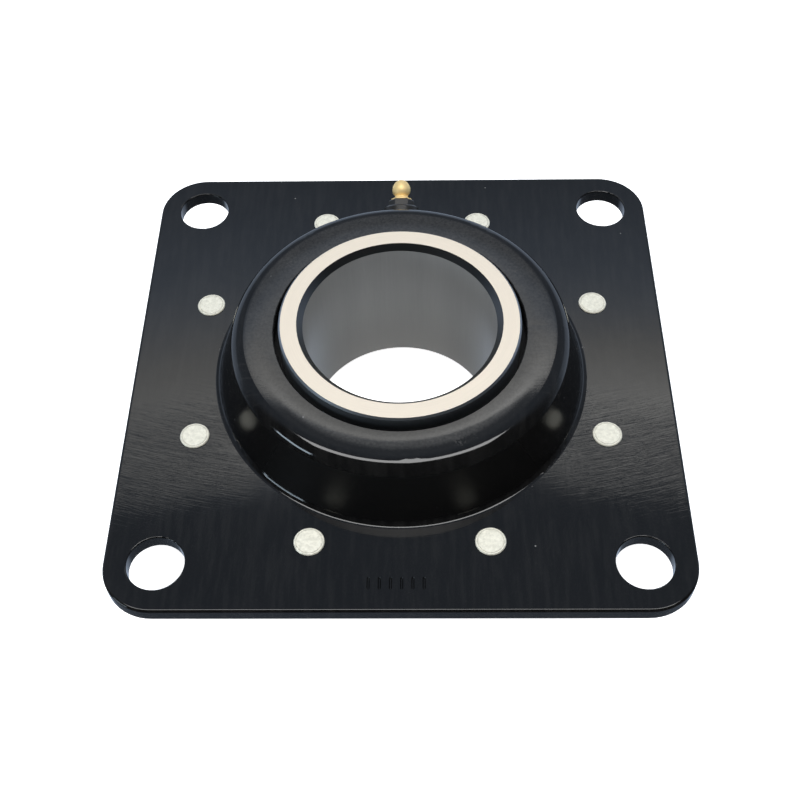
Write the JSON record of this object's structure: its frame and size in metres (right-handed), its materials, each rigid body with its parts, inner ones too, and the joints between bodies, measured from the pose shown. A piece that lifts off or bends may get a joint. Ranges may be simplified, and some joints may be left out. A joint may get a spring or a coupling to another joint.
{
  "type": "flange mount bearing",
  "caption": "Square pressed-steel flange holding a self-aligning sealed ball bearing insert with a wide plain bore, a riveted backing flange and a grease nipple.",
  "frame": {"origin": "on the bore axis, at the back face of the square flange (the face between the two flanges)", "axes": "+Z along the bore axis, out of the front dome; +Y towards the grease nipple; +X to the right of it"},
  "size_m": [0.1778, 0.1778, 0.0556],
  "materials": {
    "black_paint": "satin-gloss black enamel over pressed steel",
    "rivet_steel": "bare clinched rivet steel with turned marks",
    "ring_steel": "ground bearing steel, bright end faces",
    "ball_steel": "polished bearing steel",
    "cage_steel": "pressed sheet steel",
    "seal_steel": "dark phosphated sheet steel",
    "seal_rubber": "moulded nitrile rubber",
    "yellow_zinc": "yellow zinc plated steel",
    "spring_steel": "drawn wire"
  },
  "bodies": {
    "housing": {"front_flange": "black_paint", "rear_flange": "black_paint", "flange_rivets": "rivet_steel", "lube_boss": "black_paint", "grease_fitting": "yellow_zinc", "grease_check_spring": "spring_steel"},
    "grease_check": {"grease_check_ball": "ball_steel"},
    "outer_insert": {"outer_ring": "ring_steel", "front_seal_case": "seal_steel", "front_seal_lips": "seal_rubber", "rear_seal_case": "seal_steel", "rear_seal_lips": "seal_rubber"},
    "inner_insert": {"inner_ring": "ring_steel"},
    "cage": {"cage_front": "cage_steel", "cage_rear": "cage_steel", "cage_rivets": "cage_steel"},
    "ball_01_body": {"ball_01": "ball_steel"},
    "ball_02_body": {"ball_02": "ball_steel"},
    "ball_03_body": {"ball_03": "ball_steel"},
    "ball_04_body": {"ball_04": "ball_steel"},
    "ball_05_body": {"ball_05": "ball_steel"},
    "ball_06_body": {"ball_06": "ball_steel"},
    "ball_07_body": {"ball_07": "ball_steel"},
    "ball_08_body": {"ball_08": "ball_steel"},
    "ball_09_body": {"ball_09": "ball_steel"},
    "ball_10_body": {"ball_10": "ball_steel"}
  },
  "joints": [
    {"name": "alignment_tilt", "type": "hinge", "parent": "housing", "child": "outer_insert", "pos_m": [0, 0, 0.002], "axis": [1, 0, 0], "range_deg": [-2, 2]},
    {"name": "shaft_spin", "type": "hinge", "parent": "outer_insert", "child": "inner_insert", "pos_m": [0, 0, 0.002], "axis": [0, 0, 1], "continuous": true},
    {"name": "cage_orbit", "type": "hinge", "parent": "outer_insert", "child": "cage", "pos_m": [0, 0, 0.002], "axis": [0, 0, 1], "continuous": true},
    {"name": "grease_check_travel", "type": "slide", "parent": "housing", "child": "grease_check", "axis": [0, -0.848, -0.5299], "range_m": [0, 0.0008], "stiffness_N_per_m": 300, "springref_m": -0.0005, "deforming": ["grease_check_spring"]},
    {"name": "ball_01_roll", "type": "hinge", "parent": "cage", "child": "ball_01_body", "pos_m": [0.043, 0, 0.002], "axis": [0, 0, 1], "continuous": true},
    {"name": "ball_02_roll", "type": "hinge", "parent": "cage", "child": "ball_02_body", "pos_m": [0.03479, 0.02527, 0.002], "axis": [0, 0, 1], "continuous": true},
    {"name": "ball_03_roll", "type": "hinge", "parent": "cage", "child": "ball_03_body", "pos_m": [0.01329, 0.0409, 0.002], "axis": [0, 0, 1], "continuous": true},
    {"name": "ball_04_roll", "type": "hinge", "parent": "cage", "child": "ball_04_body", "pos_m": [-0.01329, 0.0409, 0.002], "axis": [0, 0, 1], "continuous": true},
    {"name": "ball_05_roll", "type": "hinge", "parent": "cage", "child": "ball_05_body", "pos_m": [-0.03479, 0.02527, 0.002], "axis": [0, 0, 1], "continuous": true},
    {"name": "ball_06_roll", "type": "hinge", "parent": "cage", "child": "ball_06_body", "pos_m": [-0.043, 0, 0.002], "axis": [0, 0, 1], "continuous": true},
    {"name": "ball_07_roll", "type": "hinge", "parent": "cage", "child": "ball_07_body", "pos_m": [-0.03479, -0.02527, 0.002], "axis": [0, 0, 1], "continuous": true},
    {"name": "ball_08_roll", "type": "hinge", "parent": "cage", "child": "ball_08_body", "pos_m": [-0.01329, -0.0409, 0.002], "axis": [0, 0, 1], "continuous": true},
    {"name": "ball_09_roll", "type": "hinge", "parent": "cage", "child": "ball_09_body", "pos_m": [0.01329, -0.0409, 0.002], "axis": [0, 0, 1], "continuous": true},
    {"name": "ball_10_roll", "type": "hinge", "parent": "cage", "child": "ball_10_body", "pos_m": [0.03479, -0.02527, 0.002], "axis": [0, 0, 1], "continuous": true}
  ],
  "couplings": [
    {"joint": "cage_orbit", "follows": "shaft_spin", "ratio": 0.41693},
    {"joint": "ball_01_roll", "follows": "shaft_spin", "ratio": -2.9266},
    {"joint": "ball_02_roll", "follows": "shaft_spin", "ratio": -2.9266},
    {"joint": "ball_03_roll", "follows": "shaft_spin", "ratio": -2.9266},
    {"joint": "ball_04_roll", "follows": "shaft_spin", "ratio": -2.9266},
    {"joint": "ball_05_roll", "follows": "shaft_spin", "ratio": -2.9266},
    {"joint": "ball_06_roll", "follows": "shaft_spin", "ratio": -2.9266},
    {"joint": "ball_07_roll", "follows": "shaft_spin", "ratio": -2.9266},
    {"joint": "ball_08_roll", "follows": "shaft_spin", "ratio": -2.9266},
    {"joint": "ball_09_roll", "follows": "shaft_spin", "ratio": -2.9266},
    {"joint": "ball_10_roll", "follows": "shaft_spin", "ratio": -2.9266}
  ]
}
